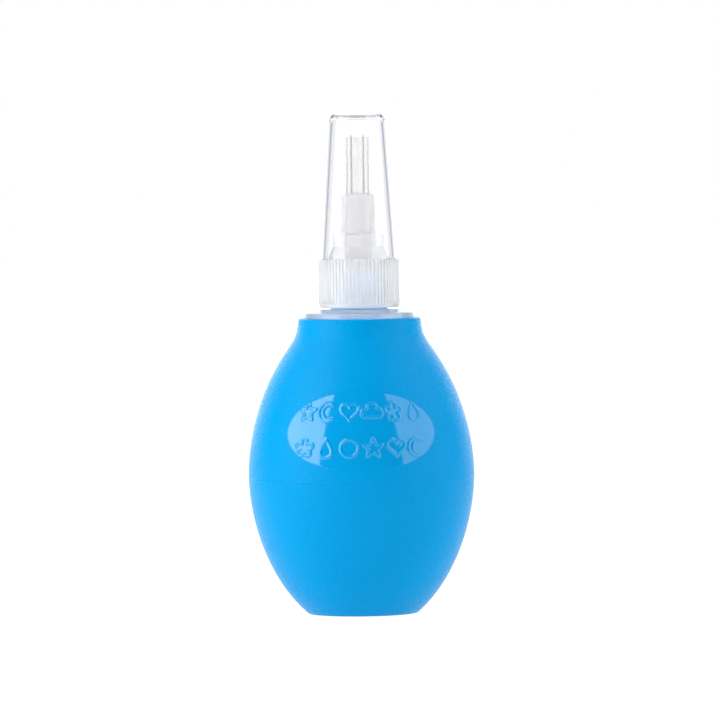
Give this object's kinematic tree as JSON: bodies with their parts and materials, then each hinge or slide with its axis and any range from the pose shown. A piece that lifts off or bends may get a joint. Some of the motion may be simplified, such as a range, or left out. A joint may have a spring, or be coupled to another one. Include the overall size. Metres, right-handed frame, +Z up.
{
  "type": "nasal aspirator",
  "caption": "Infant nasal aspirator: soft squeeze bulb with a flanged screw-on nozzle, a soft tube tip and a clear protective cap.",
  "frame": {"origin": "centre of the bulb's flat foot, on the surface it stands on", "axes": "+Z up along the bulb's axis towards the tip and cap; the glossy oval panel on the bulb faces -Y, and +X is to its right as seen from the front"},
  "size_m": [0.052, 0.052, 0.1153],
  "materials": {
    "bulb_vinyl": "matte",
    "insert_plastic": "gloss",
    "ring_plastic": "gloss",
    "nozzle_plastic": "gloss",
    "washer_silicone": "satin",
    "tip_silicone": "satin",
    "cap_plastic": "polished"
  },
  "bodies": {
    "bulb": {"squeeze_bulb": "bulb_vinyl"},
    "neck": {"neck_insert": "insert_plastic"},
    "nozzle": {"nozzle": "nozzle_plastic", "sealing_washer": "washer_silicone"},
    "ring": {"screw_ring": "ring_plastic"},
    "tip": {"soft_tip": "tip_silicone"},
    "cap": {"dust_cap": "cap_plastic"}
  },
  "joints": [
    {"name": "bulb_squeeze", "type": "slide", "parent": "bulb", "child": "neck", "axis": [0, 0, -1], "range_m": [0, 0.016], "stiffness_N_per_m": 800, "deforming": ["squeeze_bulb"]},
    {"name": "nozzle_lift", "type": "slide", "parent": "neck", "child": "nozzle", "axis": [0, 0, 1], "range_m": [0, 0.0106]},
    {"name": "ring_turn", "type": "hinge", "parent": "nozzle", "child": "ring", "pos_m": [0, 0, 0.076], "axis": [0, 0, 1], "range_deg": [0, 1260]},
    {"name": "tip_pull", "type": "slide", "parent": "nozzle", "child": "tip", "axis": [0, 0, 1], "range_m": [0, 0.016]},
    {"name": "cap_lift", "type": "slide", "parent": "tip", "child": "cap", "axis": [0, 0, 1], "range_m": [0, 0.036]}
  ],
  "couplings": [
    {"joint": "nozzle_lift", "follows": "ring_turn", "m_per_rad": 0.00047746}
  ]
}
